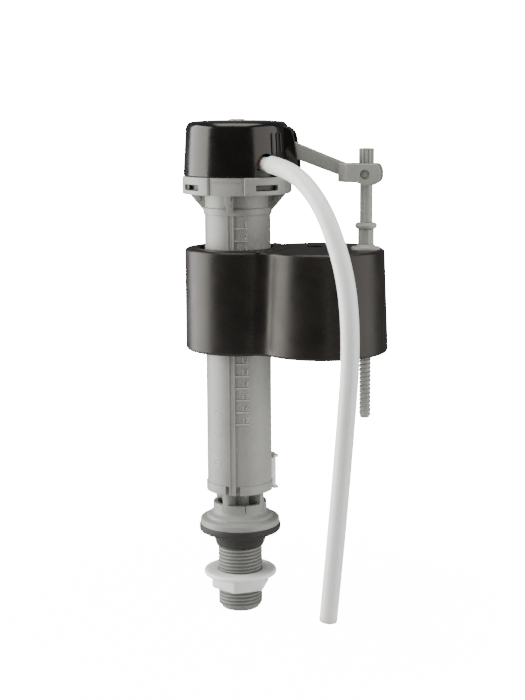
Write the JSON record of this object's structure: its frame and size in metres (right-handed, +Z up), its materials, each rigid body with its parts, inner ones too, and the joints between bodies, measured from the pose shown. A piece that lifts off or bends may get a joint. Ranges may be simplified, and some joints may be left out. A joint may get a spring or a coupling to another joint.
{
  "type": "float valve",
  "caption": "Cistern fill valve: telescopic column on a threaded shank, black cap, lever with adjusting rod and side float, and a refill hose.",
  "frame": {"origin": "on the shank's axis, at the underside of the rubber washer's disc, where it seats on the cistern floor", "axes": "+Z up the column, +X along the lever from the column to the adjusting rod, +Y by the right-hand rule"},
  "size_m": [0.1003, 0.1012, 0.2454],
  "materials": {
    "grey_pom": "satin moulded acetal, mid grey",
    "dark_grey_pom": "satin moulded acetal, darker grey",
    "white_nylon": "moulded white nylon",
    "black_abs": "glossy moulded black ABS",
    "black_pp": "satin moulded black polypropylene",
    "black_rubber": "matt moulded rubber",
    "pale_nipple": "moulded pale plastic",
    "white_hose": "soft white PVC tube",
    "clear_plug": "translucent moulded plastic",
    "steel": "drawn stainless steel",
    "strainer_white": "moulded polypropylene"
  },
  "bodies": {
    "base": {"shank_riser": "grey_pom", "shank_washer": "black_rubber", "inlet_strainer": "strainer_white", "riser_seals": "black_rubber"},
    "nut_washer": {"friction_washer": "white_nylon"},
    "nut": {"lock_nut": "white_nylon"},
    "column": {"column": "grey_pom", "valve_seat": "dark_grey_pom"},
    "clip": {"height_clip": "white_nylon"},
    "head": {"bonnet": "dark_grey_pom", "bonnet_seal": "black_rubber", "diaphragm": "black_rubber", "bleed_pin": "steel", "lever_pin": "steel", "refill_nipple": "pale_nipple", "refill_hose": "white_hose", "valve_cap": "black_abs", "cap_plug": "clear_plug"},
    "valve_core": {"diaphragm_plate": "dark_grey_pom"},
    "lever": {"lever_arm": "grey_pom", "pilot_seal": "black_rubber"},
    "trunnion": {"rod_block": "grey_pom"},
    "rod": {"adjusting_rod": "grey_pom"},
    "float": {"float_nut": "grey_pom", "float_shell": "black_pp", "float_base": "black_pp", "float_plug": "black_pp"}
  },
  "joints": [
    {"name": "nut_travel", "type": "slide", "parent": "base", "child": "nut_washer", "axis": [0, 0, 1], "range_m": [-0.01, 0.012]},
    {"name": "nut_spin", "type": "hinge", "parent": "nut_washer", "child": "nut", "pos_m": [0, 0, -0.0265], "axis": [0, 0, 1], "range_deg": [-1980, 2380]},
    {"name": "column_height", "type": "slide", "parent": "base", "child": "column", "axis": [0, 0, 1], "range_m": [0, 0.08]},
    {"name": "clip_pull", "type": "slide", "parent": "column", "child": "clip", "axis": [0.848, 0.5299, 0], "range_m": [0, 0.004]},
    {"name": "head_turn", "type": "hinge", "parent": "column", "child": "head", "pos_m": [0, 0, 0.18], "axis": [0, 0, 1], "range_deg": [0, 18]},
    {"name": "lever_swing", "type": "hinge", "parent": "head", "child": "lever", "pos_m": [0.015, 0, 0.1944], "axis": [0, -1, 0], "range_deg": [0, 12]},
    {"name": "block_tilt", "type": "hinge", "parent": "lever", "child": "trunnion", "pos_m": [0.0631, 0, 0.1792], "axis": [0, -1, 0], "range_deg": [-12, 0]},
    {"name": "rod_spin", "type": "hinge", "parent": "trunnion", "child": "rod", "pos_m": [0.0631, 0, 0.12], "axis": [0, 0, 1], "range_deg": [0, 7720]},
    {"name": "float_height", "type": "slide", "parent": "trunnion", "child": "float", "axis": [0, 0, 1], "range_m": [-0.045, 0]},
    {"name": "diaphragm_lift", "type": "slide", "parent": "head", "child": "valve_core", "axis": [0, 0, 1], "range_m": [-0.001, 0], "deforming": ["diaphragm"]}
  ],
  "couplings": [
    {"joint": "nut_travel", "follows": "nut_spin", "m_per_rad": 0.00028871},
    {"joint": "block_tilt", "follows": "lever_swing", "ratio": -1},
    {"joint": "rod_spin", "follows": "float_height", "rad_per_m": -2992},
    {"joint": "diaphragm_lift", "follows": "lever_swing", "m_per_rad": -0.0047742}
  ]
}
